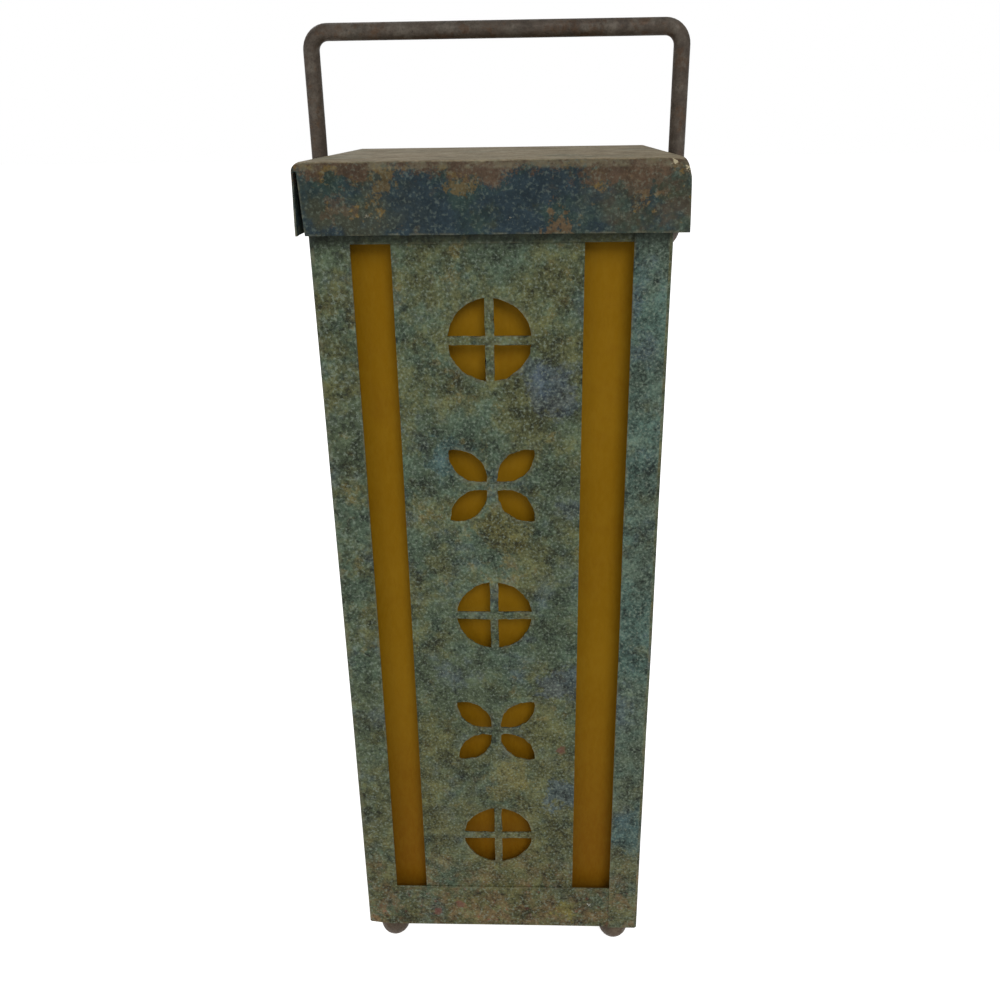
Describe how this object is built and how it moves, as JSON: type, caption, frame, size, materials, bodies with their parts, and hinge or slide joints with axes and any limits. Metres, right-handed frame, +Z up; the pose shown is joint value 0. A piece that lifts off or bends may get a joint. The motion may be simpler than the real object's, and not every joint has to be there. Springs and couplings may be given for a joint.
{
  "type": "candle lantern",
  "caption": "Tall square tin candle lantern with pierced centre strips over amber panes, a flat lift-off cap lid, a swinging rod bail and round feet.",
  "frame": {"origin": "middle of the base, on the surface that the feet stand on", "axes": "+Z up, the front wall faces -Y, the bail swings about X"},
  "size_m": [0.1408, 0.1274, 0.382],
  "materials": {
    "tin_patina": "matt blue-green and olive patina with rust",
    "inner_tin": "dull grey tinplate",
    "amber_sheet": "cloudy amber fibreglass sheet",
    "lid_tin": "matt patina with rust and dust",
    "bail_steel": "brown oxidised rod",
    "foot_steel": "dull brown oxide"
  },
  "bodies": {
    "lantern": {"front_wall": "tin_patina", "front_strip": "tin_patina", "front_pane": "amber_sheet", "right_wall": "tin_patina", "right_strip": "tin_patina", "right_pane": "amber_sheet", "back_wall": "tin_patina", "back_strip": "tin_patina", "back_pane": "amber_sheet", "left_wall": "tin_patina", "left_strip": "tin_patina", "left_pane": "amber_sheet", "floor_pan": "inner_tin", "lower_pane_rail": "inner_tin", "upper_pane_rail": "inner_tin", "drip_pan": "inner_tin", "candle_cup": "inner_tin", "bail_ear_right": "inner_tin", "bail_ear_left": "inner_tin", "foot_front_left": "foot_steel", "foot_front_right": "foot_steel", "foot_back_right": "foot_steel", "foot_back_left": "foot_steel", "bail_washer_right": "bail_steel", "bail_washer_left": "bail_steel", "cup_rivet": "inner_tin"},
    "lid": {"lid": "lid_tin"},
    "bail": {"bail_handle": "bail_steel", "bail_push_nut_right": "bail_steel", "bail_push_nut_left": "bail_steel"}
  },
  "joints": [
    {"name": "lid_lift", "type": "slide", "parent": "lantern", "child": "lid", "axis": [0, 0, 1], "range_m": [0, 0.038]},
    {"name": "bail_swing", "type": "hinge", "parent": "lantern", "child": "bail", "pos_m": [0, 0, 0.3035], "axis": [1, 0, 0], "range_deg": [-122, 122]}
  ]
}
